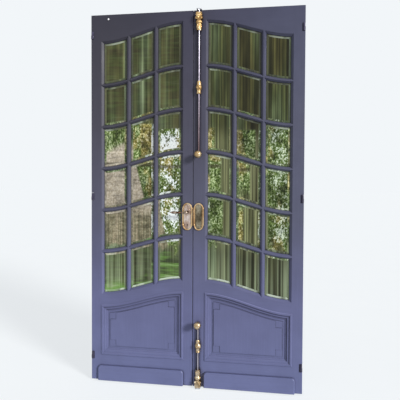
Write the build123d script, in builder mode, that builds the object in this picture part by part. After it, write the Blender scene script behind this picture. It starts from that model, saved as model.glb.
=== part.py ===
from build123d import *
import math
import os

os.makedirs("parts", exist_ok=True)

# A pair of glazed double doors with a slim frame behind them, in millimetres.
# X runs to the right, Y to the back and Z up. The origin is the middle of the
# underside of the sill. Heights named "from the foot" start at the leaf's lower edge.

# The pair of leaves
leaf_height = 2300.0
pair_width = 1314.0
leaf_thickness = 38.0
meeting_offset = 6.0
meeting_gap = 3.0
floor_gap = 8.0
arris = 1.5

# Stiles and rails, with the rise of the curve that runs through all of them
outer_stile_width = 67.0
meeting_stile_reach = 70.0
bottom_rail_height = 163.0
panel_opening_height = 310.0
middle_rail_depth = 83.0
top_rail_depth = 176.0
arch_rise = 105.0

# Glazing: chamfers to the front, a lip, and a rebate for the glass at the back
column_count = 3
row_count = 6
edge_chamfer = 13.0
bar_width = 28.0
bar_flat = 8.0
cross_bar_width = 25.0
cross_bar_flat = 7.0
chamfer_depth = 12.0
lip_depth = 4.0
rebate_width = 7.0
glass_edge = 4.0
glass_bevel_width = 14.0
glass_bevel_rise = 2.0
glass_clearance = 0.5
bead_depth = 13.0
bead_nose = 3.0

# Lower panel, its raised field and the moulding around it
panel_face_depth = 12.0
panel_thickness = 14.0
panel_tongue = 8.0
groove_clearance = 1.0
ledge_inset = 50.0
ledge_rise = 3.0
field_inset = 54.0
field_rise = 5.5
field_corner = 38.0
moulding_lap = 5.0
moulding_height = 3.5
moulding_bead = 8.0
moulding_width = 36.0
mitre_gap = 0.2

# Kick board
kick_height = 93.0
kick_thickness = 15.0
kick_inner = 64.0
kick_setback = 45.0
kick_corner = 18.0
kick_chamfer = 5.0

# Frame
frame_depth = 50.0
jamb_width = 40.0
head_height = 34.0
sill_height = 25.0
leaf_clearance = 2.0
fixing_hole_radius = 4.0
fixing_count = 4
lowest_fixing = 320.0
highest_fixing_drop = 248.0

# Lift-off hinges, three on each side
low_hinge_height = 155.0
top_hinge_drop = 125.0
hinge_inset = 8.0
barrel_radius = 7.0
barrel_height = 22.0
barrel_gap = 0.5
pin_radius = 4.0
pin_clearance = 0.08
pin_length = 18.0
hinge_plate = 3.0
hinge_tail = 35.0
hinge_foot = 50.0
notch_clearance = 1.5
web_thickness = 5.0

# Lock, plates and levers
plate_from_meeting = 35.0
plate_width = 64.0
plate_height = 168.0
plate_drop = 27.0
plate_shoulder = 58.0
plate_corner = 6.0
plate_end_radius = 29.0
plate_base = 2.5
plate_rim_width = 9.0
plate_rim_steps = 3
plate_field = 3.8
plate_field_gap = 3.0
spindle_height = 1075.0
spindle_size = 8.0
spindle_clearance = 0.4
key_drop = 75.0
key_radius = 4.0
key_slot = 12.0
lock_case_depth = 52.0
lock_case_height = 142.0
lock_case_drop = 32.0
lock_case_thickness = 16.0
forend_width = 20.0
forend_height = 190.0
forend_thickness = 3.0
latch_width = 10.0
latch_height = 18.0
latch_throw = 11.0
dead_bolt_height = 30.0
dead_bolt_throw = 13.0
bolt_length = 24.0
slide_clearance = 0.5
pocket_clearance = 1.0
lever_length = 105.0
lever_stand = 34.0
lever_boss_radius = 9.5
lever_arm_radius = 4.8
lever_knuckle = 45.0
lever_knuckle_radius = 9.0
lever_knuckle_width = 11.0
lever_ring_width = 3.0
lever_leaf_radius = 8.5
lever_clearance = 0.5
lever_neck = 15.0
lever_neck_radius = 6.2
lever_waist = 27.0
lever_stem_radius = 6.7
boss_mid_angle = 120.0
boss_end_angle = 66.0
leaf_shape = ((0.25, 0.85), (0.5, 1.0), (0.8, 0.5))

# Bolts on the front of the right leaf
bolt_from_meeting = 35.0
rod_radius = 6.5
rod_stand = 12.0
rod_clearance = 0.35
guide_height = 77.0
guide_foot_half = 10.3
guide_foot_share = 0.9
end_guide_height = 108.0
end_guide_setback = 17.0
end_guide_foot_half = 11.6
end_guide_depth = 25.0
shell_share = 0.6
shell_half = 16.4
shell_crown_radius = 7.5
shell_crown_spread = 10.2
shell_root_radius = 9.0
shell_root_spread = 12.3
upper_guide_drop = 467.0
lower_guide_middle = 256.0
upper_knob_drop = 872.0
lower_knob_height = 392.0
knob_radius = 22.5
knob_stand = 44.0
knob_stem_radius = 6.5
knob_foot_radius = 10.4
knob_foot_sink = 4.8
knob_collar_radius = 12.4
knob_collar_height = 6.8
knob_collar_drop = 19.0
rod_past_knob = 9.8
upper_rod_setback = 4.0
lower_rod_setback = 5.0
keeper_thickness = 3.0
keeper_width = 30.0
keeper_gap = 2.0
keeper_flange = 3.0
keeper_flange_height = 18.0
keeper_clearance = 2.0
keeper_corner = 6.0

# The moulding's face from its bead to the panel: inset from the opening, depth behind the front.
moulding_face = (
    (moulding_bead, -moulding_height),
    (10.0, 1.0),
    (24.0, 3.0),
    (26.0, 7.5),
    (34.5, 9.0),
    (moulding_width, panel_face_depth),
)

# Turned outlines of the guides: radius over the rod's bore, height as a share of the whole.
guide_turning = (
    (1.8, 0.0),
    (1.9, 0.05),
    (1.65, 0.12),
    (1.75, 0.3),
    (2.1, 0.38),
    (2.45, 0.45),
    (2.45, 0.55),
    (2.1, 0.62),
    (1.75, 0.7),
    (1.6, 0.9),
    (1.25, 1.0),
)
end_guide_turning = (
    (2.2, 0.0),
    (2.25, 0.05),
    (1.9, 0.09),
    (2.0, 0.22),
    (2.2, 0.36),
    (2.6, 0.42),
    (2.75, 0.48),
    (2.4, 0.53),
    (1.9, 0.57),
    (2.2, 0.64),
)

# Small round stop on the left leaf's top rail
stop_from_edge = 114.0
stop_below_top = 29.0
stop_radius = 7.0
stop_height = 5.0
stop_rim = 3.0

# Worked out from the sizes above
half_width = pair_width / 2
leaf_front = -(frame_depth / 2 + leaf_clearance + leaf_thickness)
leaf_foot = floor_gap
leaf_top = leaf_foot + leaf_height
top_hinge_height = leaf_height - top_hinge_drop
middle_hinge_height = (low_hinge_height + top_hinge_height) / 2
hinge_heights = (low_hinge_height, middle_hinge_height, top_hinge_height)
highest_fixing = leaf_top - highest_fixing_drop
fixing_pitch = (highest_fixing - lowest_fixing) / (fixing_count - 1)
fixing_middle = (highest_fixing + lowest_fixing) / 2
plate_middle = spindle_height - plate_drop
key_height = spindle_height - key_drop
lock_case_middle = spindle_height - lock_case_drop
upper_guide_middle = leaf_height - upper_guide_drop
upper_knob_height = leaf_height - upper_knob_drop
kick_outer = half_width - kick_setback
opening_outer = half_width - outer_stile_width
opening_inner = meeting_stile_reach
sight_outer = opening_outer - edge_chamfer
sight_inner = opening_inner + edge_chamfer
panel_low = leaf_foot + bottom_rail_height
panel_high = panel_low + panel_opening_height
glazing_low = panel_high + middle_rail_depth
glazing_high = leaf_top - top_rail_depth
pane_width = (sight_outer - sight_inner - (column_count - 1) * bar_width) / column_count
row_pitch = (glazing_high - glazing_low) / row_count
bar_chamfer = (bar_width - bar_flat) / 2
cross_chamfer = (cross_bar_width - cross_bar_flat) / 2
glass_seat = chamfer_depth + lip_depth
glass_back = glass_seat + glass_edge
hinge_line = half_width - hinge_inset
notch_width = hinge_inset * 2
notch_half = barrel_height + barrel_gap + notch_clearance
meeting_line = -meeting_offset
bolt_x = meeting_line + bolt_from_meeting
rod_y = leaf_front - rod_stand
spindle_x = meeting_line - plate_from_meeting
blank_x = meeting_line + plate_from_meeting
lock_edge = meeting_line - meeting_gap / 2
strike_edge = meeting_line + meeting_gap / 2
leaf_middle_y = leaf_front + leaf_thickness / 2
leaf_back = leaf_front + leaf_thickness
inward = (0, 1, 0)
outward = (0, -1, 0)


def write(piece, name):
    """Label a finished piece and write it as its own file."""
    piece.part.label = name
    export_step(piece.part, "parts/" + name + ".step")


def handed(shape, side):
    """A right-hand shape as it is, or its mirror image for the left side."""
    return shape if side > 0 else mirror(shape, about=Plane.YZ, mode=Mode.PRIVATE)


def write_pair(piece, name):
    """Write a right-hand piece and its mirror image, under the names of both sides."""
    write(piece, "right_" + name)
    twin = handed(piece.part, -1)
    twin.label = "left_" + name
    export_step(twin, "parts/" + twin.label + ".step")


def layer(depth):
    """The upright plane that lies a given depth behind the leaves' front face."""
    return Plane.XZ.offset(-(leaf_front + depth))


def rise(x):
    """Height of the curve at a distance from the middle, over its outer end."""
    t = (opening_outer - x) / (opening_outer - opening_inner)
    return arch_rise * (3 - 2 * t) * t**2


def slope(x):
    """Steepness of the curve at the same distance."""
    span = opening_outer - opening_inner
    t = (opening_outer - x) / span
    return -6 * arch_rise * t * (1 - t) / span


def edge_points(near, far, height, arched):
    """Points of one level edge, straight or along the curve."""
    if not arched:
        return [(near, height), (far, height)]
    run = (far - near) / 3
    return [
        (near, height + rise(near)),
        (near + run, height + rise(near) + slope(near) * run),
        (far - run, height + rise(far) - slope(far) * run),
        (far, height + rise(far)),
    ]


def region(near, far, low, high, depth, low_arched=True, high_arched=True):
    """A face between two upright lines and two level edges, at one depth."""
    low_points = edge_points(near, far, low, low_arched)
    high_points = edge_points(near, far, high, high_arched)
    with BuildSketch(layer(depth)) as shape:
        with BuildLine():
            (Bezier if low_arched else Line)(*low_points)
            Line(low_points[-1], high_points[-1])
            (Bezier if high_arched else Line)(*high_points)
            Line(high_points[0], low_points[0])
        make_face()
    return shape.sketch


def bar_height(row):
    """Height of the cross bar under a row of panes, at the curve's outer end."""
    return glazing_low + row * row_pitch


def pane_limits(column, row):
    """Sight lines of one pane and the widths of the chamfers on its four sides."""
    near = sight_inner + column * (pane_width + bar_width)
    far = near + pane_width
    low = glazing_low if row == 0 else bar_height(row) + cross_bar_width / 2
    high = glazing_high if row == row_count - 1 else bar_height(row + 1) - cross_bar_width / 2
    near_chamfer = edge_chamfer if column == 0 else bar_chamfer
    far_chamfer = edge_chamfer if column == column_count - 1 else bar_chamfer
    low_chamfer = edge_chamfer if row == 0 else cross_chamfer
    high_chamfer = edge_chamfer if row == row_count - 1 else cross_chamfer
    return (near, far, low, high), (near_chamfer, far_chamfer, low_chamfer, high_chamfer)


def pane_region(column, row, depth, grow):
    """A pane's outline at one depth, grown or shrunk evenly from its sight lines."""
    (near, far, low, high), _ = pane_limits(column, row)
    return region(near - grow, far + grow, low - grow, high + grow, depth)


def pane_opening(column, row):
    """The hole for one pane: chamfers to the front, lip, and rebate to the back."""
    (near, far, low, high), chamfers = pane_limits(column, row)
    front = region(
        near - chamfers[0], far + chamfers[1], low - chamfers[2], high + chamfers[3], 0
    )
    with BuildPart() as opening:
        loft([front, pane_region(column, row, chamfer_depth, 0)], ruled=True)
        extrude(pane_region(column, row, chamfer_depth, 0), amount=lip_depth, dir=inward)
        extrude(
            pane_region(column, row, glass_seat, rebate_width),
            amount=leaf_thickness - glass_seat,
            dir=inward,
        )
    return opening.part


def block(x_from, x_to, y_from, y_to, z_from, z_to):
    """A plain block between given limits, for cuts and simple members."""
    with BuildPart() as piece:
        with Locations(((x_from + x_to) / 2, (y_from + y_to) / 2, (z_from + z_to) / 2)):
            Box(abs(x_to - x_from), abs(y_to - y_from), abs(z_to - z_from))
    return piece.part


def panel_region(inset, depth):
    """The lower panel's outline, drawn in from the opening by an inset."""
    return region(
        opening_inner + inset,
        opening_outer - inset,
        panel_low + inset,
        panel_high - inset,
        depth,
        low_arched=False,
    )


def panel_groove():
    """The groove in the stiles and rails that the panel's edge sits in."""
    with BuildPart() as groove:
        extrude(
            panel_region(-panel_tongue, panel_face_depth),
            amount=panel_thickness,
            dir=inward,
        )
    return groove.part


def make_outer_stile(openings):
    with BuildPart() as outer_stile:
        add(
            block(
                opening_outer, half_width, leaf_front, leaf_back, leaf_foot, leaf_top
            )
        )
        front = outer_stile.edges().filter_by(Axis.Z).group_by(Axis.Y)[0]
        chamfer(front.sort_by(Axis.X)[-1], length=arris)
        extrude(
            region(sight_outer, opening_outer, glazing_low, glazing_high, 0),
            amount=leaf_thickness,
            dir=inward,
        )
        add(openings[-row_count:], mode=Mode.SUBTRACT)
        add(panel_groove(), mode=Mode.SUBTRACT)
        for height in hinge_heights:
            middle = leaf_foot + height
            notch_x = half_width - notch_width
            add(
                block(
                    notch_x,
                    half_width,
                    leaf_front,
                    leaf_back,
                    middle - notch_half,
                    middle + notch_half,
                ),
                mode=Mode.SUBTRACT,
            )
            add(leaf_hinge_plate(middle), mode=Mode.SUBTRACT)
    write_pair(outer_stile, "outer_stile")


def make_meeting_stiles(openings):
    """The two stiles that meet: the lock is in the left one, its pockets in the right."""
    with BuildPart() as margin:
        extrude(
            region(opening_inner, sight_inner, glazing_low, glazing_high, 0),
            amount=leaf_thickness,
            dir=inward,
        )
    cuts = [*openings[:row_count], panel_groove()]
    lock_cuts = [
        lock_body(),
        spindle_hole(leaf_front, leaf_back),
        key_hole(leaf_front, leaf_back),
    ]
    sides = (
        (-1, "left_meeting_stile", lock_edge, lock_cuts),
        (1, "right_meeting_stile", strike_edge, strike_pockets()),
    )
    for side, name, edge, own_cuts in sides:
        with BuildPart() as stile:
            add(block(edge, side * opening_inner, leaf_front, leaf_back, leaf_foot, leaf_top))
            front = stile.edges().filter_by(Axis.Z).group_by(Axis.Y)[0]
            chamfer(front.sort_by(Axis.X)[0 if side > 0 else -1], length=arris)
            add(handed(margin.part, side))
            add([handed(cut, side) for cut in cuts], mode=Mode.SUBTRACT)
            add([forend(side), *own_cuts], mode=Mode.SUBTRACT)
        write(stile, name)


def make_rails(openings):
    top_row = openings[row_count - 1 :: row_count]
    bottom_row = openings[0::row_count]
    with BuildPart() as top_rail:
        extrude(
            region(
                opening_inner,
                opening_outer,
                glazing_high,
                leaf_top,
                0,
                high_arched=False,
            ),
            amount=leaf_thickness,
            dir=inward,
        )
        add(top_row, mode=Mode.SUBTRACT)
    write_pair(top_rail, "top_rail")

    with BuildPart() as middle_rail:
        extrude(
            region(opening_inner, opening_outer, panel_high, glazing_low, 0),
            amount=leaf_thickness,
            dir=inward,
        )
        add(bottom_row, mode=Mode.SUBTRACT)
        add(panel_groove(), mode=Mode.SUBTRACT)
    write_pair(middle_rail, "middle_rail")

    with BuildPart() as bottom_rail:
        add(
            block(
                opening_inner,
                opening_outer,
                leaf_front,
                leaf_back,
                leaf_foot,
                panel_low,
            )
        )
        add(panel_groove(), mode=Mode.SUBTRACT)
    write_pair(bottom_rail, "bottom_rail")


def make_bars(openings):
    with BuildPart() as upright_bars:
        for column in range(column_count - 1):
            near = pane_limits(column, 0)[0][1]
            extrude(
                region(near, near + bar_width, glazing_low, glazing_high, 0),
                amount=leaf_thickness,
                dir=inward,
            )
        add(openings, mode=Mode.SUBTRACT)
    write_pair(upright_bars, "upright_bars")

    with BuildPart() as cross_bars:
        for row in range(1, row_count):
            for column in range(column_count):
                near, far = pane_limits(column, row)[0][:2]
                centre = bar_height(row)
                half = cross_bar_width / 2
                extrude(
                    region(near, far, centre - half, centre + half, 0),
                    amount=leaf_thickness,
                    dir=inward,
                )
        add(openings, mode=Mode.SUBTRACT)
    write_pair(cross_bars, "cross_bars")


def make_glazing():
    with BuildPart() as panes:
        for column in range(column_count):
            for row in range(row_count):
                edge = pane_region(column, row, glass_seat, rebate_width - glass_clearance)
                extrude(edge, amount=glass_edge, dir=inward)
                low_bevel = pane_region(column, row, glass_seat, -glass_clearance)
                high_bevel = pane_region(
                    column, row, glass_seat - glass_bevel_rise, -glass_bevel_width
                )
                loft([low_bevel, high_bevel], ruled=True)
    write_pair(panes, "panes")

    with BuildPart() as glazing_beads:
        for column in range(column_count):
            for row in range(row_count):
                back = pane_region(column, row, glass_back, rebate_width)
                extrude(back, amount=bead_depth, dir=inward)
        for column in range(column_count):
            for row in range(row_count):
                throat = pane_region(column, row, glass_back, 0)
                mouth = pane_region(
                    column, row, glass_back + bead_depth, rebate_width - bead_nose
                )
                loft([throat, mouth], ruled=True, mode=Mode.SUBTRACT)
    write_pair(glazing_beads, "glazing_beads")


def field_corner_cuts():
    """The square bites out of the raised field's four corners."""
    front = leaf_front + panel_face_depth - field_rise
    back = leaf_front + panel_face_depth - ledge_rise
    ends = (
        (opening_inner + ledge_inset, opening_inner + field_inset + field_corner),
        (opening_outer - field_inset - field_corner, opening_outer - ledge_inset),
    )
    cuts = []
    for near, far in ends:
        low = panel_low + field_inset + field_corner
        cuts.append(block(near, far, front, back, panel_low + ledge_inset, low))
        high = panel_high + rise((near + far) / 2)
        top = high + field_corner
        cuts.append(
            block(near, far, front, back, high - field_inset - field_corner, top)
        )
    return cuts


def make_panel():
    with BuildPart() as panel:
        extrude(
            panel_region(groove_clearance - panel_tongue, panel_face_depth),
            amount=panel_thickness,
            dir=inward,
        )
        ledge = panel_region(ledge_inset, panel_face_depth - ledge_rise)
        extrude(ledge, amount=ledge_rise, dir=inward)
        field = panel_region(field_inset, panel_face_depth - field_rise)
        extrude(field, amount=field_rise, dir=inward)
        for cut in field_corner_cuts():
            add(cut, mode=Mode.SUBTRACT)
    write_pair(panel, "panel")


def moulding_ring():
    """The moulding round the panel as one ring, before it is cut at the mitres."""
    with BuildPart() as ring:
        lap = panel_region(-moulding_lap, 0)
        crown = panel_region(moulding_height - moulding_lap, -moulding_height)
        loft([lap, crown], ruled=True)
        extrude(panel_region(0, 0), amount=panel_face_depth, dir=inward)
        for upper, lower in zip(moulding_face, moulding_face[1:]):
            loft([panel_region(*upper), panel_region(*lower)], ruled=True, mode=Mode.SUBTRACT)
    return ring.part


def make_moulding():
    """The panel moulding as four strips, sawn apart at the corner mitres."""
    middle = (moulding_width - moulding_lap) / 2
    saw_length = 2 * (moulding_width + moulding_lap)
    saw_depth = 2 * (moulding_height + panel_face_depth)
    near = opening_inner + middle
    far = opening_outer - middle
    low = panel_low + middle
    mitres = (
        (near, low, -45),
        (far, low, 45),
        (near, panel_high + rise(near) - middle, 45),
        (far, panel_high + rise(far) - middle, -45),
    )
    with BuildPart() as panel_moulding:
        add(moulding_ring())
        for x, z, turn in mitres:
            with Locations(Location((x, leaf_front, z), (0, turn, 0))):
                Box(saw_length, saw_depth, mitre_gap, mode=Mode.SUBTRACT)
    write_pair(panel_moulding, "panel_moulding")


def make_kick_board():
    with BuildPart() as kick_board:
        with BuildSketch(layer(0)) as outline:
            with Locations(((kick_inner + kick_outer) / 2, leaf_foot + kick_height / 2)):
                Rectangle(kick_outer - kick_inner, kick_height)
            fillet(outline.vertices().group_by(Axis.Y)[-1], radius=kick_corner)
        extrude(amount=kick_thickness, dir=outward)
        front = kick_board.faces().sort_by(Axis.Y)[0]
        low_edge = front.edges().sort_by(Axis.Z)[0]
        chamfer(front.edges() - ShapeList([low_edge]), length=kick_chamfer)
    write_pair(kick_board, "kick_board")


def leaf_hinge_plate(middle):
    """Plate let into the back of a hinge notch, which carries the upper barrel."""
    wall = half_width - notch_width
    return block(
        (wall - hinge_plate),
        wall,
        leaf_front,
        leaf_front + hinge_tail,
        middle - notch_half,
        middle + notch_half,
    )


def make_hinges():
    with BuildPart() as knuckles:
        for height in hinge_heights:
            middle = leaf_foot + height
            foot = middle + barrel_gap / 2
            add(leaf_hinge_plate(middle))
            wall = (half_width - notch_width)
            add(
                block(
                    wall,
                    hinge_line,
                    leaf_front - web_thickness / 2,
                    leaf_front + web_thickness / 2,
                    foot,
                    foot + barrel_height,
                )
            )
            with BuildSketch(Plane.XY.offset(foot)):
                with Locations((hinge_line, leaf_front)):
                    Circle(barrel_radius)
            extrude(amount=barrel_height)
            with BuildSketch(Plane.XY.offset(foot)):
                with Locations((hinge_line, leaf_front)):
                    Circle(pin_radius + pin_clearance)
            extrude(amount=pin_length + pin_clearance, mode=Mode.SUBTRACT)
    write_pair(knuckles, "hinge_knuckles")

    with BuildPart() as pintles:
        for height in hinge_heights:
            middle = leaf_foot + height
            head = middle - barrel_gap / 2
            add(jamb_hinge_plate(middle))
            add(
                block(
                    hinge_line,
                    (half_width - hinge_plate),
                    leaf_front - web_thickness / 2,
                    leaf_front + web_thickness / 2,
                    head - barrel_height,
                    head,
                )
            )
            with BuildSketch(Plane.XY.offset(head - barrel_height)):
                with Locations((hinge_line, leaf_front)):
                    Circle(barrel_radius)
            extrude(amount=barrel_height)
            with BuildSketch(Plane.XY.offset(head)):
                with Locations((hinge_line, leaf_front)):
                    Circle(pin_radius)
            extrude(amount=barrel_gap + pin_length)
    write_pair(pintles, "hinge_pintles")


def jamb_hinge_plate(middle):
    """Plate that runs from the lower barrel back to the jamb and is let into it."""
    head = middle - barrel_gap / 2
    foot = head - barrel_height
    jamb_face = -frame_depth / 2
    tail = jamb_face + hinge_tail
    reach = (hinge_foot - barrel_height) / 2
    points = [
        (leaf_front - web_thickness / 2, foot),
        (jamb_face, foot),
        (jamb_face, foot - reach),
        (tail, foot - reach),
        (tail, head + reach),
        (jamb_face, head + reach),
        (jamb_face, head),
        (leaf_front - web_thickness / 2, head),
    ]
    with BuildPart() as plate:
        with BuildSketch(Plane.YZ.offset(half_width)):
            with BuildLine():
                Polyline(*points, close=True)
            make_face()
        extrude(amount=hinge_plate, dir=(-1, 0, 0))
    return plate.part


def make_frame():
    sill_top = sill_height
    head_foot = leaf_top - head_height
    rear = frame_depth / 2
    with BuildPart() as jamb:
        inner = half_width - jamb_width
        add(block(inner, half_width, -rear, rear, 0, head_foot))
        for height in hinge_heights:
            add(jamb_hinge_plate(leaf_foot + height), mode=Mode.SUBTRACT)
        with BuildSketch(Plane.YZ.offset(half_width)):
            with Locations((0, fixing_middle)):
                with GridLocations(1, fixing_pitch, 1, fixing_count):
                    Circle(fixing_hole_radius)
        extrude(amount=jamb_width, dir=(-1, 0, 0), mode=Mode.SUBTRACT)
        long_edges = jamb.edges().filter_by(Axis.Z).group_by(SortBy.LENGTH)[-1]
        chamfer(long_edges.sort_by(Axis.X)[:2], length=arris)
    write_pair(jamb, "jamb")

    with BuildPart() as head:
        add(block(-half_width, half_width, -rear, rear, head_foot, leaf_top))
        add(keeper_flange_block(leaf_top, -1), mode=Mode.SUBTRACT)
    write(head, "frame_head")

    with BuildPart() as sill:
        inner = half_width - jamb_width
        add(block(-inner, inner, -rear, rear, 0, sill_top))
        back_top = sill.edges().filter_by(Axis.X).group_by(Axis.Z)[-1].sort_by(Axis.Y)[-1]
        chamfer(back_top, length=sill_height / 3)
        add(keeper_flange_block(0, 1), mode=Mode.SUBTRACT)
    write(sill, "frame_sill")


def keeper_flange_block(start, way):
    """Flange of a bolt keeper, let into the front of the head or the sill."""
    face = -frame_depth / 2
    middle = bolt_x
    return block(
        middle - keeper_width / 2,
        middle + keeper_width / 2,
        face,
        face + keeper_flange,
        start,
        start + way * keeper_flange_height,
    )


def make_keepers():
    face = -frame_depth / 2
    tip = rod_y - rod_radius - keeper_clearance - keeper_thickness
    specs = (
        ("head_keeper", leaf_top, -1, leaf_top, leaf_top + keeper_gap),
        ("sill_keeper", 0, 1, 0, 0),
    )
    for name, start, way, flange_end, plate_foot in specs:
        with BuildPart() as keeper:
            add(keeper_flange_block(start, way))
            plate_head = plate_foot + keeper_thickness
            with BuildSketch(Plane.XY.offset(plate_foot)) as plan:
                with Locations((bolt_x, (tip + face + keeper_flange) / 2)):
                    Rectangle(keeper_width, face + keeper_flange - tip)
                fillet(plan.vertices().group_by(Axis.Y)[0], radius=keeper_corner)
                with Locations((bolt_x, rod_y)):
                    Circle(rod_radius + keeper_clearance, mode=Mode.SUBTRACT)
            extrude(amount=keeper_thickness)
            if plate_foot > flange_end:
                left = bolt_x - keeper_width / 2
                right = bolt_x + keeper_width / 2
                add(block(left, right, face, face + keeper_flange, flange_end, plate_head))
        write(keeper, name)


def plate_outline(grow, height):
    """The lock plate's outline at a height over its back, grown or shrunk evenly."""
    with BuildSketch(Plane.XZ.offset(height)) as outline:
        corner = plate_corner * (1 + 2 * grow / plate_width)
        RectangleRounded(plate_width + 2 * grow, 2 * (plate_shoulder + grow), corner)
        end = plate_height / 2 - plate_end_radius
        with Locations((0, -end), (0, end)):
            Circle(plate_end_radius + grow)
    return outline.sketch


def plate_form():
    """A lock plate with a half-round rim and a raised field, lying on the XZ plane."""
    bead = plate_rim_width / 2
    angles = [math.pi / 2 * step / plate_rim_steps for step in range(plate_rim_steps + 1)]
    stations = [
        (bead * (1 - math.cos(angle)), plate_base + bead * math.sin(angle)) for angle in angles
    ]
    with BuildPart() as form:
        extrude(plate_outline(0, 0), amount=plate_base, dir=outward)
        for (inset, foot), (next_inset, head) in zip(stations, stations[1:]):
            loft([plate_outline(-inset, foot), plate_outline(-next_inset, head)], ruled=True)
        for (inset, foot), (next_inset, head) in zip(stations, stations[1:]):
            inner = plate_outline(inset - plate_rim_width, foot)
            mouth = plate_outline(next_inset - plate_rim_width, head)
            loft([inner, mouth], ruled=True, mode=Mode.SUBTRACT)
        field = plate_outline(-plate_rim_width - plate_field_gap, 0)
        extrude(field, amount=plate_field, dir=outward)
    return form.part


def make_plates():
    form = plate_form()
    turned = mirror(form, about=Plane.XZ)
    cuts = [
        spindle_hole(leaf_front - plate_rim_width, leaf_back + plate_rim_width),
        key_hole(leaf_front - plate_rim_width, leaf_back + plate_rim_width),
    ]
    plates = (
        ("front_lock_plate", form, spindle_x, leaf_front, cuts),
        ("back_lock_plate", turned, spindle_x, leaf_back, cuts),
        ("blank_plate", form, blank_x, leaf_front, []),
    )
    for name, shape, x, y, holes in plates:
        with BuildPart() as plate:
            with Locations((x, y, leaf_foot + plate_middle)):
                add(shape)
            if holes:
                add(holes, mode=Mode.SUBTRACT)
        write(plate, name)


def forend(side):
    """The narrow plate let into a meeting edge: lock forend or strike plate."""
    edge = lock_edge if side < 0 else strike_edge
    centre = leaf_foot + lock_case_middle
    return block(
        edge,
        edge + side * forend_thickness,
        leaf_middle_y - forend_width / 2,
        leaf_middle_y + forend_width / 2,
        centre - forend_height / 2,
        centre + forend_height / 2,
    )


def lock_body():
    """The lock case's outer block inside the left meeting stile."""
    start = lock_edge - forend_thickness
    centre = leaf_foot + lock_case_middle
    return block(
        start - lock_case_depth,
        start,
        leaf_middle_y - lock_case_thickness / 2,
        leaf_middle_y + lock_case_thickness / 2,
        centre - lock_case_height / 2,
        centre + lock_case_height / 2,
    )


def bolt_block(middle, height, start, end, grow):
    """A sliding bolt or the channel it runs in, level with a height from the foot."""
    centre = leaf_foot + middle
    return block(
        start,
        end,
        leaf_middle_y - latch_width / 2 - grow,
        leaf_middle_y + latch_width / 2 + grow,
        centre - height / 2 - grow,
        centre + height / 2 + grow,
    )


def lock_bolts():
    """Name, height and size of the latch bolt and the dead bolt, with their throws."""
    dead_bolt_middle = key_height + dead_bolt_height / 2 + key_radius
    return (
        ("latch_bolt", spindle_height, latch_height, latch_throw),
        ("dead_bolt", dead_bolt_middle, dead_bolt_height, dead_bolt_throw),
    )


def strike_pockets():
    """Holes behind the strike plate that take the two bolts."""
    pockets = []
    for name, middle, height, throw in lock_bolts():
        pocket_end = lock_edge + throw + 2 * pocket_clearance
        pockets.append(
            bolt_block(middle, height, strike_edge, pocket_end, pocket_clearance)
        )
    return pockets


def bolt_channels():
    """Channels for the two bolts through the forend and into the case."""
    start = lock_edge - bolt_length - slide_clearance
    return [
        bolt_block(middle, height, start, lock_edge, slide_clearance)
        for name, middle, height, throw in lock_bolts()
    ]


def spindle_hole(y_from, y_to):
    """Round hole with room for the square spindle to turn."""
    radius = spindle_size * math.sqrt(2) / 2 + spindle_clearance
    with BuildPart() as hole:
        with BuildSketch(Plane.XZ.offset(-y_from)):
            with Locations((spindle_x, leaf_foot + spindle_height)):
                Circle(radius)
        extrude(amount=y_to - y_from, dir=inward)
    return hole.part


def key_hole(y_from, y_to):
    """Keyhole: a round eye over a narrow slot."""
    with BuildPart() as hole:
        with BuildSketch(Plane.XZ.offset(-y_from)):
            with Locations((spindle_x, leaf_foot + key_height)):
                Circle(key_radius)
            with Locations((spindle_x, leaf_foot + key_height - key_slot / 2)):
                Rectangle(key_radius, key_slot)
        extrude(amount=y_to - y_from, dir=inward)
    return hole.part


def make_lock():
    with BuildPart() as case:
        add(lock_body())
        add(spindle_hole(leaf_front, leaf_back), mode=Mode.SUBTRACT)
        add(key_hole(leaf_front, leaf_back), mode=Mode.SUBTRACT)
        for channel in bolt_channels():
            add(channel, mode=Mode.SUBTRACT)
    write(case, "lock_case")

    with BuildPart() as lock_forend:
        add(forend(-1))
        for channel in bolt_channels():
            add(channel, mode=Mode.SUBTRACT)
    write(lock_forend, "lock_forend")

    with BuildPart() as strike_plate:
        add(forend(1))
        for pocket in strike_pockets():
            add(pocket, mode=Mode.SUBTRACT)
    write(strike_plate, "strike_plate")

    for name, middle, height, throw in lock_bolts():
        with BuildPart() as bolt:
            add(bolt_block(middle, height, lock_edge - bolt_length, lock_edge, 0))
            nose = bolt.faces().sort_by(Axis.X)[-1].edges().filter_by(Axis.Z).sort_by(Axis.Y)[0]
            chamfer(nose, length=latch_width / 2 if name == "latch_bolt" else arris)
        write(bolt, name)


def lever_axis(face, away):
    """Distance along Y at which a lever's arm lies, from the face its plate is on."""
    return face + away[1] * (plate_field + lever_stand)


def spindle_bar():
    """The square bar through the lock that joins the two levers."""
    half = spindle_size / 2
    return block(
        spindle_x - half,
        spindle_x + half,
        lever_axis(leaf_front, outward),
        lever_axis(leaf_back, inward),
        leaf_foot + spindle_height - half,
        leaf_foot + spindle_height + half,
    )


def on_circle(radius, angle):
    """The point at an angle, in degrees, on a circle about the start of the lever's arm."""
    return (radius * math.cos(math.radians(angle)), radius * math.sin(math.radians(angle)))


def turned_bead(start, end, crest):
    """A round bead on the lever's arm, from one place along it to another."""
    ends = ((start, lever_arm_radius), (end, lever_arm_radius))
    return ThreePointArc(ends[0], ((start + end) / 2, crest), ends[1])


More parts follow.
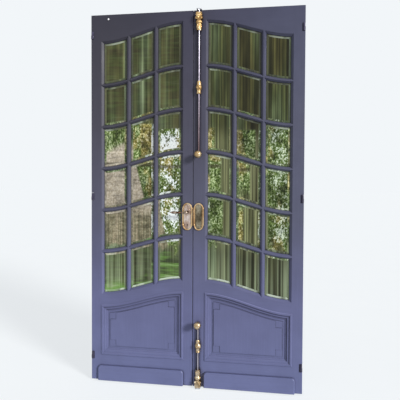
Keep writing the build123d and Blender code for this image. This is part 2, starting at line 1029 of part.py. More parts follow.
def make_lever(name, face, away):
    """A turned lever handle: boss on the plate, ringed arm and swelling tip."""
    arm_y = lever_axis(face, away)
    boss_y = face + away[1] * (plate_field + lever_clearance)
    centre_z = leaf_foot + spindle_height
    boss = lever_boss_radius
    thin = lever_arm_radius
    ring = thin + lever_ring_width / 2
    knuckle_start = lever_knuckle - lever_knuckle_width / 2
    knuckle_end = lever_knuckle + lever_knuckle_width / 2
    leaf_start = knuckle_end + lever_ring_width
    leaf = lever_length - leaf_start
    start = (-boss, 0)
    boss_end = on_circle(boss, boss_end_angle)
    ring_start = (knuckle_start - lever_ring_width, thin)
    swell = [
        (leaf_start + leaf * share, lever_leaf_radius * fullness) for share, fullness in leaf_shape
    ]
    with BuildPart() as lever:
        along = Plane(origin=(spindle_x, arm_y, centre_z), x_dir=(-1, 0, 0), z_dir=(0, 1, 0))
        with BuildSketch(along):
            with BuildLine():
                ThreePointArc(start, on_circle(boss, boss_mid_angle), boss_end)
                Spline(boss_end, (lever_neck, lever_neck_radius), (lever_waist, thin), ring_start)
                turned_bead(knuckle_start - lever_ring_width, knuckle_start, ring)
                turned_bead(knuckle_start, knuckle_end, lever_knuckle_radius)
                turned_bead(knuckle_end, leaf_start, ring)
                Spline((leaf_start, thin), *swell, (lever_length, 0))
                Line((lever_length, 0), start)
            make_face()
        revolve(axis=Axis((spindle_x, arm_y, centre_z), (1, 0, 0)))
        with BuildSketch(Plane.XZ.offset(-boss_y)):
            with Locations((spindle_x, centre_z)):
                Circle(boss)
        extrude(amount=boss / 2, dir=away)
        with BuildSketch(Plane.XZ.offset(-boss_y)):
            with Locations((spindle_x, centre_z)):
                Circle(lever_stem_radius)
        extrude(amount=abs(arm_y - boss_y), dir=away)
        add(spindle_bar(), mode=Mode.SUBTRACT)
    write(lever, name)


def make_levers():
    make_lever("front_lever", leaf_front, outward)
    make_lever("back_lever", leaf_back, inward)
    with BuildPart() as spindle:
        add(spindle_bar())
    write(spindle, "spindle")


def turned_body(turning, tall, start, way):
    """A guide's body turned about the rod's axis, up or down from its start."""
    bore = rod_radius + rod_clearance
    outline = [(bore * across, way * tall * share) for across, share in turning]
    with BuildPart() as body:
        upright = Plane(origin=(bolt_x, rod_y, start), x_dir=(1, 0, 0), z_dir=(0, -1, 0))
        with BuildSketch(upright):
            with BuildLine():
                Polyline((0, 0), *outline, (0, outline[-1][1]), close=True)
            make_face()
        revolve(axis=Axis((bolt_x, rod_y, start), (0, 0, 1)))
    return body.part


def guide_waste():
    """What a guide loses: everything inside the leaf, and the bore for the rod."""
    with BuildPart() as waste:
        add(block(-half_width, half_width, leaf_front, leaf_back, leaf_foot, leaf_top))
        with BuildSketch(Plane.XY):
            with Locations((bolt_x, rod_y)):
                Circle(rod_radius + rod_clearance)
        extrude(amount=leaf_top + leaf_foot)
    return waste.part


def guide_foot(half, start, end):
    """The block that joins a guide's turned body to the stile."""
    return block(bolt_x - half, bolt_x + half, rod_y, leaf_front, start, end)


def make_guides():
    for name, middle in (("upper_guide", upper_guide_middle), ("lower_guide", lower_guide_middle)):
        start = leaf_foot + middle - guide_height / 2
        with BuildPart() as guide:
            add(turned_body(guide_turning, guide_height, start, 1))
            add(guide_foot(guide_foot_half, start, start + guide_height * guide_foot_share))
            add(guide_waste(), mode=Mode.SUBTRACT)
        write(guide, name)


def shell_outline(root, crown):
    """Front outline of an end guide's shell, between the heights of its two rows of lobes."""
    way = 1 if crown > root else -1
    lobe_height = root + way * shell_root_radius
    with BuildSketch(layer(0)) as outline:
        with Locations((bolt_x, (root + crown) / 2)):
            Rectangle(2 * shell_half, abs(crown - root))
        with Locations(
            (bolt_x - shell_crown_spread, crown),
            (bolt_x, crown),
            (bolt_x + shell_crown_spread, crown),
        ):
            Circle(shell_crown_radius)
        with Locations(
            (bolt_x - shell_root_spread, lobe_height), (bolt_x + shell_root_spread, lobe_height)
        ):
            Circle(shell_root_radius)
    return outline.sketch


def make_end_guides():
    starts = (
        ("upper_end_guide", leaf_top - end_guide_setback - end_guide_height, 1),
        ("lower_end_guide", leaf_foot + end_guide_height, -1),
    )
    for name, start, way in starts:
        root = start + way * end_guide_height * shell_share
        crown = start + way * (end_guide_height - shell_crown_radius)
        with BuildPart() as guide:
            add(turned_body(end_guide_turning, end_guide_height, start, way))
            add(guide_foot(end_guide_foot_half, start, root))
            extrude(shell_outline(root, crown), amount=end_guide_depth, dir=outward)
            add(guide_waste(), mode=Mode.SUBTRACT)
        write(guide, name)


def make_rods():
    rods = (
        ("upper", leaf_foot + upper_knob_height, leaf_top - upper_rod_setback),
        ("lower", leaf_foot + lower_knob_height, leaf_foot + lower_rod_setback),
    )
    for name, knob_z, end in rods:
        way = 1 if end > knob_z else -1
        start = knob_z - way * rod_past_knob
        with BuildPart() as rod:
            with BuildSketch(Plane.XY.offset(min(start, end))):
                with Locations((bolt_x, rod_y)):
                    Circle(rod_radius)
            extrude(amount=abs(end - start))
        write(rod, name + "_rod")

        with BuildPart() as knob:
            with BuildSketch(layer(-knob_foot_sink)):
                with Locations((bolt_x, knob_z)):
                    Circle(knob_foot_radius)
            extrude(amount=rod_stand, dir=outward)
            with BuildSketch(layer(-rod_stand)):
                with Locations((bolt_x, knob_z)):
                    Circle(knob_stem_radius)
            extrude(amount=knob_stand - rod_stand, dir=outward)
            with Locations((bolt_x, leaf_front - knob_stand + knob_collar_drop, knob_z)):
                Cylinder(knob_collar_radius, knob_collar_height, rotation=(90, 0, 0))
            with Locations((bolt_x, leaf_front - knob_stand, knob_z)):
                Sphere(knob_radius)
            with BuildSketch(Plane.XY.offset(min(start, knob_z - 2 * knob_radius))):
                with Locations((bolt_x, rod_y)):
                    Circle(rod_radius)
            extrude(amount=4 * knob_radius, mode=Mode.SUBTRACT)
        write(knob, name + "_knob")


def make_stop():
    with BuildPart() as stop:
        with BuildSketch(layer(0)):
            with Locations((stop_from_edge - half_width, leaf_top - stop_below_top)):
                Circle(stop_radius)
        extrude(amount=stop_height, dir=outward)
        rim = stop.faces().sort_by(Axis.Y)[0].edges()
        fillet(rim, radius=stop_rim)
    write(stop, "stop_button")


pane_openings = [
    pane_opening(column, row) for column in range(column_count) for row in range(row_count)
]
make_outer_stile(pane_openings)
make_meeting_stiles(pane_openings)
make_rails(pane_openings)
make_bars(pane_openings)
make_glazing()
make_panel()
make_moulding()
make_kick_board()
make_hinges()
make_frame()
make_keepers()
make_lock()
make_plates()
make_levers()
make_guides()
make_end_guides()
make_rods()
make_stop()
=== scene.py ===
import math

import bpy
from mathutils import Matrix, Vector


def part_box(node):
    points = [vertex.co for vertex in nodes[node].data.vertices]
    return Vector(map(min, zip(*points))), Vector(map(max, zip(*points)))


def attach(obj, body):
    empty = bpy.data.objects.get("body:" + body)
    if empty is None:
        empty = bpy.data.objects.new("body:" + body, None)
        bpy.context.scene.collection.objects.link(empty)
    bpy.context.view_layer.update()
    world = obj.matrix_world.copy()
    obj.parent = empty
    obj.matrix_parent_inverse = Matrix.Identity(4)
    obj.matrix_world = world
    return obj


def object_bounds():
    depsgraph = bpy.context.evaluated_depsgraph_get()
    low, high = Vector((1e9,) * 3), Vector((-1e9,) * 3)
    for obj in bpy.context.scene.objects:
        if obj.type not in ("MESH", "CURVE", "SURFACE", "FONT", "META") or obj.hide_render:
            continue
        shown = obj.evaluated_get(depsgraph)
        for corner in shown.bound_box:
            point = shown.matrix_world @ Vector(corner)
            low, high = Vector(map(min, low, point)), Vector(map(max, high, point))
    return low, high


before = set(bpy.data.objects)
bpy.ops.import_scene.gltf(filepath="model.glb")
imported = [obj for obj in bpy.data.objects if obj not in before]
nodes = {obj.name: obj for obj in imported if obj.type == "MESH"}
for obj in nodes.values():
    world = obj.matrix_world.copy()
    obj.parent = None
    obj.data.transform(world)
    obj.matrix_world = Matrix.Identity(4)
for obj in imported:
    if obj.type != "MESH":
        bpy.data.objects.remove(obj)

cad_low, cad_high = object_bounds()
collection = bpy.context.scene.collection

# Places on the doors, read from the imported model, in metres
leaf_low, leaf_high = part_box("left_outer_stile")
leaf_foot = leaf_low.z
leaf_top = leaf_high.z
leaf_front = leaf_low.y
leaf_back = leaf_high.y
half_width = cad_high.x

# The glazing's lattice: columns from the meeting line outwards, rows from the foot up
lattice_inner = 0.07
lattice_outer = 0.59
lattice_rise = 0.105
lattice_foot = 0.564
lattice_pitch = 1.568 / 6
first_column = 0.069
column_pitch = 0.174

# Faces of the lock plates: their middle over the leaf's foot, and the worn field inside
plate_middle = 1.048
plate_straight = 0.055
plate_field_half = 0.020
plate_field_edge = 0.0006

# Brush marks and drawing marks, as noise scales along X, Y and Z
grain_upright = (190.0, 190.0, 5.0)
grain_level = (5.0, 190.0, 190.0)

# Paint: its tone at each share of the height, darkened towards the top by painted shade, and the
# painted shade and light across its upper part, left to right
paint_and_shade_tones = (
    (0.0, (101, 107, 146)), (0.22, (95, 98, 134)), (0.45, (82, 83, 103)),
    (0.70, (71, 70, 85)), (1.0, (58, 57, 73)),
)
painted_light_across = (
    (0.0, (0.80, 0.79, 0.70, 1)), (0.5, (1.0, 1.0, 1.0, 1)), (1.0, (1.34, 1.46, 1.55, 1)),
)
# Ledges of the panel moulding: depth behind the leaf's front, and how far the painted shade under
# them fades
groove_ledges = ((0.001, 0.0016), (0.0075, 0.0016))
ledge_overhang = (0.0026, 0.0014)

# What the glass mirrors, as tones at steps of its noise
cloth_tones = (
    (0.34, (58, 53, 32)), (0.46, (80, 77, 50)), (0.56, (82, 88, 60)), (0.68, (112, 124, 98)),
)
grass_tones = (
    (0.36, (52, 64, 38)), (0.48, (88, 112, 60)), (0.56, (104, 146, 66)), (0.68, (150, 172, 124)),
)
green_tones = (
    (0.34, (22, 32, 12)), (0.45, (66, 88, 36)), (0.56, (116, 136, 74)), (0.68, (204, 216, 178)),
)
ochre_tones = (
    (0.34, (60, 56, 26)), (0.46, (126, 120, 62)), (0.56, (172, 162, 98)),
    (0.66, (226, 222, 192)),
)
stone_tones = ((0.32, (136, 126, 106)), (0.5, (168, 158, 140)), (0.68, (200, 192, 176)))

# Where it stands there: a middle and a half width across or up, in metres
clearing = (-0.15, 0.09)
yellow_tree_place = (0.1, 0.03)
right_hedge_place = (0.11, 0.05)
far_sky_place = (0.52, 0.07)
long_curtains = ((0.195, 0.045), (0.375, 0.035))
short_curtain = (0.345, 0.075)
beam_height = (1.362, 0.012)
# Edges that ease from one height, or one place across, to the other
garden_foot = (0.84, 0.90)
garden_top = (1.60, 1.615)
sky_foot = (0.86, 0.94)
lit_cloth_foot = (0.8, 0.95)
lit_cloth_top = (1.5, 1.65)
low_cloth_top = (0.6, 1.05)
lawn_top = (0.69, 0.77)
lawn_right = (-0.06, -0.04)
left_hedge_right = (-0.44, -0.4)
right_hedge_top = (1.36, 1.42)
yellow_tree_foot = (1.42, 1.5)
short_curtain_top = (1.15, 1.3)
path_right = (-0.042, -0.026)
path_top = (1.67, 1.72)
path_fold_top = (1.05, 1.15)
# The two brightest spots of sky: across and up, each with its soft edge
low_glare = ((-0.125, 0.028, 0.028), (1.045, 0.026, 0.026))
high_glare = ((-0.14, 0.05, 0.03), (1.51, 0.06, 0.03))

# How far the picture jumps from pane to pane, and how far it slips along a bevel
pane_jump = (0.07, 0.0, 0.05)
bevel_slip = (0.9, 0.0, 0.9)

# Starting places of the noises
broad_seed = (2.3, 0.0, 0.0)
pleat_seed = (3.9, 0.0, 1.44)
thread_seed = (4.7, 0.0, 1.74)
clump_seed = (3.7, 0.0, 1.37)
autumn_seed = (6.3, 0.0, 2.33)
mass_seed = (5.0, 0.0, 2.0)

# Lock plates: tones of the worn field, from its stains to its bright spots
silvered = ((0.34, (136, 104, 88)), (0.5, (190, 166, 150)), (0.64, (226, 212, 204)))
tarnished = ((0.34, (74, 66, 52)), (0.5, (128, 118, 98)), (0.64, (178, 168, 146)))
gilt_rim = ((0.34, (176, 138, 96)), (0.5, (206, 172, 128)), (0.66, (240, 220, 184)))
lock_plate_x = -0.041
blank_plate_x = 0.029

# Bolt rods: the tone at each share of the height, dullest near the upper knob
rod_tones = (
    (0.0, (196, 192, 202)), (0.3, (176, 168, 178)), (0.64, (112, 92, 94)),
    (0.78, (150, 142, 156)), (0.95, (186, 182, 198)),
)
white = (1, 1, 1, 1)


def screen_colour(red, green, blue):
    """A colour given in screen values of 0 to 255, as linear light."""
    def channel(value):
        share = value / 255
        return share / 12.92 if share <= 0.04045 else ((share + 0.055) / 1.055) ** 2.4
    return (channel(red), channel(green), channel(blue), 1.0)


class Wiring:
    """A node tree that is written step by step."""

    def __init__(self, tree):
        self.tree = tree

    def add(self, kind, inputs=None, **settings):
        made = self.tree.nodes.new(kind)
        for key, value in settings.items():
            setattr(made, key, value)
        for key, value in (inputs or {}).items():
            self.feed(made.inputs[key], value)
        return made

    def feed(self, socket, value):
        if isinstance(value, bpy.types.NodeSocket):
            self.tree.links.new(value, socket)
        else:
            socket.default_value = value

    def math(self, operation, first, second=0.0, third=0.0):
        made = self.add("ShaderNodeMath", operation=operation)
        for socket, value in zip(made.inputs, (first, second, third)):
            self.feed(socket, value)
        return made.outputs["Value"]

    def times(self, first, second):
        return self.math("MULTIPLY", first, second)

    def plus(self, first, second):
        return self.math("ADD", first, second)

    def minus(self, first, second):
        return self.math("SUBTRACT", first, second)

    def larger(self, first, second):
        return self.math("MAXIMUM", first, second)

    def weighed(self, value, weight, rest):
        """The value times its weight, added to the rest."""
        return self.math("MULTIPLY_ADD", value, weight, rest)


class Recipe(Wiring):
    """A node material, with its own shader."""

    def __init__(self, name):
        self.material = bpy.data.materials.new(name)
        self.material.use_nodes = True
        super().__init__(self.material.node_tree)
        self.shader = self.tree.nodes["Principled BSDF"]
        coordinates = self.add("ShaderNodeTexCoord").outputs
        self.place = coordinates["Object"]
        self.facing = coordinates["Normal"]

    def finish(self, **inputs):
        for key, value in inputs.items():
            self.feed(self.shader.inputs[key.replace("_", " ")], value)
        return self.material

    def axes(self, vector=None):
        return self.add("ShaderNodeSeparateXYZ", {"Vector": vector or self.place}).outputs

    def vector(self, operation, *values):
        made = self.add("ShaderNodeVectorMath", operation=operation)
        for socket, value in zip(made.inputs, values):
            self.feed(socket, value)
        return made.outputs

    def stretched(self, scale, offset=(0, 0, 0), place=None):
        made = self.add("ShaderNodeMapping", {"Vector": place or self.place})
        made.inputs["Scale"].default_value = scale
        made.inputs["Location"].default_value = offset
        return made.outputs["Vector"]

    def noise(self, place, scale, detail=3.0, roughness=0.5):
        return self.add("ShaderNodeTexNoise", {
            "Vector": place, "Scale": scale, "Detail": detail, "Roughness": roughness,
            "Distortion": 0.0,
        }).outputs["Fac"]

    def ramp(self, value, *stops):
        """Greys or linear colours at steps of a value."""
        made = self.add("ShaderNodeValToRGB", {"Fac": value})
        marks = made.color_ramp.elements
        while len(marks) < len(stops):
            marks.new(0.5)
        for mark, (position, colour) in zip(marks, stops):
            mark.position = position
            mark.color = colour if isinstance(colour, tuple) else (colour, colour, colour, 1)
        return made.outputs["Color"]

    def tones(self, value, *stops):
        """Screen colours at steps of a value."""
        return self.ramp(value, *((position, screen_colour(*tone)) for position, tone in stops))

    def between(self, value, low, high, to_low=0.0, to_high=1.0):
        """Eases from one result to the other while the value goes from low to high."""
        made = self.add("ShaderNodeMapRange", {"Value": value})
        made.interpolation_type = "SMOOTHSTEP"
        limits = (low, high, to_low, to_high)
        for key, limit in zip(("From Min", "From Max", "To Min", "To Max"), limits):
            self.feed(made.inputs[key], limit)
        return made.outputs["Result"]

    def falling(self, value, low, high):
        return self.between(value, low, high, 1.0, 0.0)

    def near(self, value, middle, half, soft=0.008):
        """A share of 1 up to a half width from the middle, easing to 0 beyond it."""
        off = self.math("ABSOLUTE", self.minus(value, middle))
        return self.falling(off, half - soft, half + soft)

    def mix(self, share, first, second, blend="MIX"):
        # Colours enter the Mix node at sockets 6 and 7, and leave it at 2
        made = self.add("ShaderNodeMix", data_type="RGBA", blend_type=blend)
        self.feed(made.inputs[0], share)
        self.feed(made.inputs[6], first)
        self.feed(made.inputs[7], second)
        return made.outputs[2]

    def shaded(self, colour, shade):
        return self.mix(1.0, colour, shade, "MULTIPLY")

    def toward(self, share, colour, tone):
        """The colour, turned by a share into a screen colour."""
        return self.mix(share, colour, screen_colour(*tone))

    def bump(self, height, strength, distance, under=None):
        made = self.add("ShaderNodeBump", {
            "Height": height, "Strength": strength, "Distance": distance,
        })
        if under:
            self.feed(made.inputs["Normal"], under)
        return made.outputs["Normal"]

    def openness(self, reach):
        """A share of 1 on open faces, falling towards 0 where other faces stand close."""
        shade = self.add("ShaderNodeAmbientOcclusion", {"Distance": reach}, samples=6)
        return shade.outputs["AO"]


def ledge_shade_and_highlight(recipe, colour):
    """Painted shade under the moulding's ledges, and painted highlights on the sides that face up
    and right.
    """
    facing = recipe.axes(recipe.facing)
    turned_to_light = recipe.weighed(facing["X"], 0.6, recipe.times(facing["Z"], 0.8))
    depth = recipe.minus(recipe.axes()["Y"], leaf_front)
    dirt_and_shade = 0.0
    for ledge, fade in groove_ledges:
        below = recipe.falling(depth, ledge, ledge + fade)
        reached = recipe.between(depth, ledge - ledge_overhang[0], ledge - ledge_overhang[1])
        dirt_and_shade = recipe.larger(dirt_and_shade, recipe.times(below, reached))
    # Painted shade: dark under the ledges, on the sides turned away from the key light
    painted_shade_below = recipe.times(dirt_and_shade, recipe.falling(turned_to_light, -0.16, -0.02))
    colour = recipe.toward(recipe.times(painted_shade_below, 0.9), colour, (36, 34, 58))
    # Painted highlight: pale paint on the sides turned up and right, towards the key light
    rubbed = recipe.between(turned_to_light, 0.25, 0.8, 0.0, 0.5)
    return recipe.toward(rubbed, colour, (134, 137, 180))


def painted_timber(name, grain, grime_and_shade=0.011, depth=0.5, ledges=False):
    """Slate-purple eggshell paint with brush marks along the grain, and painted shade that darkens
    it to the top.

    The reach of grime and shade is how far dirt and painted shade spread out of a corner, and depth
    how much they cover.
    """
    recipe = Recipe(name)
    across, _, height = recipe.axes()
    # Painted shade: the paint darkens towards the top, and above 0.6 m it turns darker on the left
    # and lighter on the right
    colour = recipe.tones(recipe.math("DIVIDE", height, leaf_top), *paint_and_shade_tones)
    high_up = recipe.between(height, 0.6, 2.3)
    sideways = recipe.ramp(recipe.between(across, -half_width, half_width), *painted_light_across)
    colour = recipe.shaded(colour, recipe.mix(high_up, white, sideways))
    brush = recipe.noise(recipe.stretched(grain), 1.0, detail=4.0, roughness=0.6)
    cloud = recipe.noise(recipe.place, 7.0)
    colour = recipe.shaded(colour, recipe.ramp(brush, (0.3, 0.95), (0.7, 1.04)))
    colour = recipe.shaded(colour, recipe.ramp(cloud, (0.3, 0.94), (0.7, 1.05)))
    # Darker where other faces stand close: dirt in the corners, and painted shade there, in the
    # grooves and round the fittings
    dust = recipe.between(recipe.openness(grime_and_shade), 0.42, 0.96, depth, 0.0)
    colour = recipe.toward(dust, colour, (28, 24, 36))
    if ledges:
        colour = ledge_shade_and_highlight(recipe, colour)
    peel = recipe.noise(recipe.place, 900.0, detail=2.0)
    marks = recipe.bump(brush, 0.14, 0.0006)
    return recipe.finish(
        Base_Color=colour,
        Specular_IOR_Level=0.28,
        Roughness=recipe.between(cloud, 0.3, 0.7, 0.36, 0.5),
        Normal=recipe.bump(peel, 0.12, 0.0003, under=marks),
    )


class Glazing(Recipe):
    """Bevelled panes that mirror hung cloth, and a band of garden at mid height."""

    def __init__(self, name):
        super().__init__(name)
        chance, self.row = self.pane_cell()
        self.brightness = self.axes(chance)["Y"]
        centred = self.vector("SUBTRACT", chance, (0.5, 0.5, 0.5))["Vector"]
        jumped = self.vector("MULTIPLY_ADD", centred, pane_jump, self.place)["Vector"]
        self.seen = self.vector("MULTIPLY_ADD", self.facing, bevel_slip, jumped)["Vector"]
        self.across, _, self.height = self.axes(self.seen)
        self.right_side = self.between(self.across, -0.02, 0.02)
        self.pleats = self.mottle((36.0, 1.0, 0.6), pleat_seed, detail=3.0, roughness=0.55)
        self.threads = self.mottle((115.0, 1.0, 0.9), thread_seed)
        self.folds = self.plus(self.times(self.threads, 0.5), self.times(self.pleats, 0.5))
        self.fall = self.mottle((14.0, 1.0, 4.0))
        self.leaves = self.mottle((1, 1, 0.8), scale=110.0, detail=4.0, roughness=0.68)
        self.clumps = self.mottle((1, 1, 0.8), clump_seed, 17.0, 4.0, 0.65)

    def pane_cell(self):
        """A random colour for each pane, and the pane's row, counted from the foot."""
        across, _, height = self.axes()
        apart = self.math("ABSOLUTE", across)
        column = self.math("DIVIDE", self.minus(apart, first_column), column_pitch)
        share = self.math(
            "DIVIDE", self.minus(lattice_outer, apart), lattice_outer - lattice_inner
        )
        curve = self.times(self.times(share, share), self.weighed(share, -2.0, 3.0))
        level = self.weighed(curve, -lattice_rise, height)
        steps = self.math("DIVIDE", self.minus(level, lattice_foot), lattice_pitch)
        row = self.math("FLOOR", steps)
        cell = self.add("ShaderNodeCombineXYZ", {
            "X": self.math("FLOOR", column), "Y": row, "Z": self.math("SIGN", across),
        })
        chance = self.add("ShaderNodeTexWhiteNoise", {"Vector": cell.outputs["Vector"]})
        return chance.outputs["Color"], row

    def mottle(self, stretch, seed=(0, 0, 0), scale=1.0, detail=2.0, roughness=0.5):
        """Noise over the mirrored picture."""
        return self.noise(self.stretched(stretch, seed, self.seen), scale, detail, roughness)

    def curtain(self):
        """Broad folds of brown and green cloth, finer pleats and a few pale threads."""
        cloth = self.tones(self.mottle((9.0, 1.0, 0.8), broad_seed), *cloth_tones)
        drape = self.shaded(cloth, self.ramp(
            self.pleats, (0.32, 0.25), (0.43, 0.6), (0.52, 0.92), (0.62, 1.2), (0.72, 1.9)
        ))
        sharp_folds = self.ramp(self.threads, (0.34, 0.3), (0.48, 0.8), (0.56, 1.0), (0.66, 1.9))
        fineness = self.weighed(self.right_side, 0.45, 0.4)
        drape = self.mix(fineness, drape, sharp_folds, "MULTIPLY")
        drape = self.shaded(drape, self.ramp(self.fall, (0.34, 0.6), (0.64, 1.3)))
        drape = self.mix(self.right_side, drape, self.shaded(drape, (0.78, 0.82, 0.64, 1)))
        nearer = self.times(
            self.between(self.height, *lit_cloth_foot), self.falling(self.height, *lit_cloth_top)
        )
        lit = self.between(self.folds, 0.4, 0.6, 0.05, 0.62)
        drape = self.toward(self.times(nearer, lit), drape, (146, 152, 112))
        low_down = self.falling(self.height, *low_cloth_top)
        lit_low = self.between(self.folds, 0.42, 0.6, 0.05, 0.62)
        return self.toward(self.times(low_down, lit_low), drape, (156, 172, 140))

    def lawn_over(self, drape):
        """Mown grass at the foot of the left leaf, rising in the clearing."""
        mown = self.mottle((5.0, 1.0, 42.0), detail=3.0, roughness=0.6)
        far = self.times(self.near(self.across, *clearing), 0.15)
        edge = self.weighed(self.fall, 0.16, self.minus(self.height, far))
        left = self.falling(self.across, *lawn_right)
        share = self.times(left, self.between(edge, *lawn_top, 0.85, 0.1))
        return self.mix(share, drape, self.tones(mown, *grass_tones))

    def foliage(self):
        """Leaves in clumps and darker masses, green in the hedges and ochre elsewhere."""
        autumn = self.mottle((1, 1, 0.6), autumn_seed, 8.0, 3.0, 0.6)
        yellow_tree = self.times(
            self.near(self.across, *yellow_tree_place),
            self.between(self.height, *yellow_tree_foot, 0.0, 0.3),
        )
        right_hedge = self.times(
            self.near(self.across, *right_hedge_place),
            self.falling(self.height, *right_hedge_top),
        )
        hedge = self.larger(self.falling(self.across, *left_hedge_right), right_hedge)
        turning = self.weighed(hedge, -0.2, self.plus(autumn, yellow_tree))
        colour = self.mix(
            self.between(turning, 0.48, 0.62),
            self.tones(self.leaves, *green_tones),
            self.tones(self.leaves, *ochre_tones),
        )
        clumped = self.ramp(self.clumps, (0.36, 0.32), (0.5, 0.9), (0.62, 1.35))
        colour = self.shaded(colour, clumped)
        masses = self.mottle((1, 1, 0.7), mass_seed, 7.0, 3.0, 0.6)
        colour = self.shaded(colour, self.ramp(masses, (0.4, 0.62), (0.56, 1.15)))
        tint = self.mix(self.right_side, (1.22, 1.18, 1.1, 1), (0.92, 0.92, 0.88, 1))
        return self.shaded(colour, tint)

    def sky(self):
        """A share near 1 where white sky shows between the leaves."""
        gaps = self.weighed(self.leaves, 0.8, self.times(self.clumps, 0.7))
        for (over, up), gain in ((high_glare, 0.13), (low_glare, 0.2)):
            spot = self.times(self.near(self.across, *over), self.near(self.height, *up))
            gaps = self.weighed(spot, gain, gaps)
        open_sky = self.larger(
            self.near(self.across, *clearing),
            self.times(self.near(self.across, *far_sky_place), 0.35),
        )
        share = self.times(self.between(gaps, 0.77, 0.86), self.weighed(open_sky, 0.8, 0.07))
        return self.times(share, self.between(self.height, *sky_foot))

    def stone_path(self):
        """Pale coursed stone, and cloth folds over its foot."""
        stone = self.tones(self.leaves, *stone_tones)
        courses = self.mottle((9.0, 1.0, 46.0), detail=3.0, roughness=0.6)
        stone = self.shaded(stone, self.ramp(courses, (0.36, 0.62), (0.5, 1.0), (0.64, 1.12)))
        stone = self.shaded(stone, self.ramp(self.clumps, (0.36, 0.66), (0.56, 1.06)))
        folded = self.shaded(stone, self.ramp(
            self.folds, (0.42, (0.3, 0.33, 0.23, 1)), (0.52, (0.62, 0.64, 0.5, 1)),
            (0.6, (1.1, 1.04, 0.92, 1)),
        ))
        return self.mix(self.between(self.height, *path_fold_top, 0.9, 0.0), stone, folded)

    def path_share(self):
        """A share of 1 on the path: left of a leaning edge, wider in the two lowest rows."""
        widening = self.times(self.math("LESS_THAN", self.row, 1.5), -0.085)
        edge = self.plus(self.weighed(self.height, 0.25, self.across), widening)
        leaning = self.weighed(self.across, -0.45, self.height)
        return self.times(self.falling(edge, *path_right), self.falling(leaning, *path_top))

    def garden(self):
        """Sky and leaves, the stone path, and a dark beam across them."""
        colour = self.toward(self.sky(), self.foliage(), (236, 242, 246))
        colour = self.mix(self.path_share(), colour, self.stone_path())
        beam = self.times(self.near(self.height, *beam_height), 0.75)
        return self.toward(beam, colour, (58, 54, 36))

    def garden_share(self):
        """A share of 1 over the garden's band, where no curtain is drawn."""
        top = self.falling(self.height, *garden_top)
        wander = self.times(self.minus(self.clumps, 0.5), 0.3)
        foot = self.between(self.plus(self.height, wander), *garden_foot)
        drawn = self.times(
            self.near(self.across, *short_curtain), self.falling(self.height, *short_curtain_top)
        )
        for curtain in long_curtains:
            drawn = self.larger(self.near(self.across, *curtain), drawn)
        return self.times(self.times(top, foot), self.minus(1.0, drawn))

    def glints(self):
        """A share on bevels that catch the sky: those facing up, and the lowest row's foot."""
        _, outward, upward = self.axes(self.facing)
        sloped = self.math("LESS_THAN", self.math("ABSOLUTE", outward), 0.998)
        lowest = self.math("LESS_THAN", self.row, 0.5)
        catch = self.noise(self.stretched((9.0, 1.0, 9.0)), 1.0, 2.0)
        gleam = self.times(
            self.between(upward, 0.02, 0.1), self.between(catch, 0.44, 0.68, 0.06, 0.42)
        )
        foot_gleam = self.times(
            self.times(self.falling(upward, -0.1, -0.02), lowest),
            self.between(catch, 0.44, 0.52, 0.25, 0.85),
        )
        return self.times(sloped, self.larger(self.larger(gleam, foot_gleam), 0.06))


def bevelled_glass():
    """Glass with a painted reflection of olive curtains, a mottled garden at mid height and bevel
    glints.
    """
    recipe = Glazing("bevelled_glass")
    cloth = recipe.lawn_over(recipe.curtain())
    colour = recipe.mix(recipe.garden_share(), cloth, recipe.garden())
    colour = recipe.shaded(colour, recipe.ramp(recipe.brightness, (0.0, 0.84), (1.0, 1.14)))
    colour = recipe.toward(recipe.glints(), colour, (200, 212, 196))
    # Dark putty at the panes' edges, with painted shade where the bars stand close
    putty_and_edge_shade = recipe.between(recipe.openness(0.012), 0.5, 0.86, 0.8, 0.0)
    colour = recipe.toward(putty_and_edge_shade, colour, (14, 16, 12))
    ripple = recipe.noise(recipe.stretched((1, 1, 0.5)), 14.0, 1.0)
    return recipe.finish(
        Base_Color=colour,
        Specular_IOR_Level=0.2,
        Roughness=0.05,
        Normal=recipe.bump(ripple, 0.1, 0.001),
    )


def gilt_brass(name, bright, dark, pale, roughness, reach=0.009):
    """Old gilding: pale where rubbed, brown in the hollows and a deeper gold high up; on the lever
    the pale spots are painted highlights.
    """
    recipe = Recipe(name)
    height = recipe.axes()["Z"]
    wear = recipe.noise(recipe.place, 150.0, detail=5.0, roughness=0.7)
    stain = recipe.noise(recipe.place, 34.0)
    blend = recipe.plus(recipe.times(wear, 0.5), recipe.times(stain, 0.5))
    blend = recipe.weighed(recipe.minus(recipe.openness(reach), 0.85), 0.5, blend)
    colour = recipe.tones(blend, (0.3, dark), (0.43, bright), (0.55, bright), (0.64, pale))
    deeper = recipe.shaded(colour, (1.0, 0.86, 0.62, 1))
    colour = recipe.mix(recipe.between(height, 1.0, 2.0), colour, deeper)
    cast = recipe.noise(recipe.place, 420.0)
    return recipe.finish(
        Base_Color=colour,
        Metallic=1.0,
        Specular_Tint=(0.4, 0.25, 0.16, 1.0),
        Roughness=recipe.between(wear, 0.3, 0.7, roughness + 0.14, roughness),
        Normal=recipe.bump(cast, 0.25, 0.0004),
    )


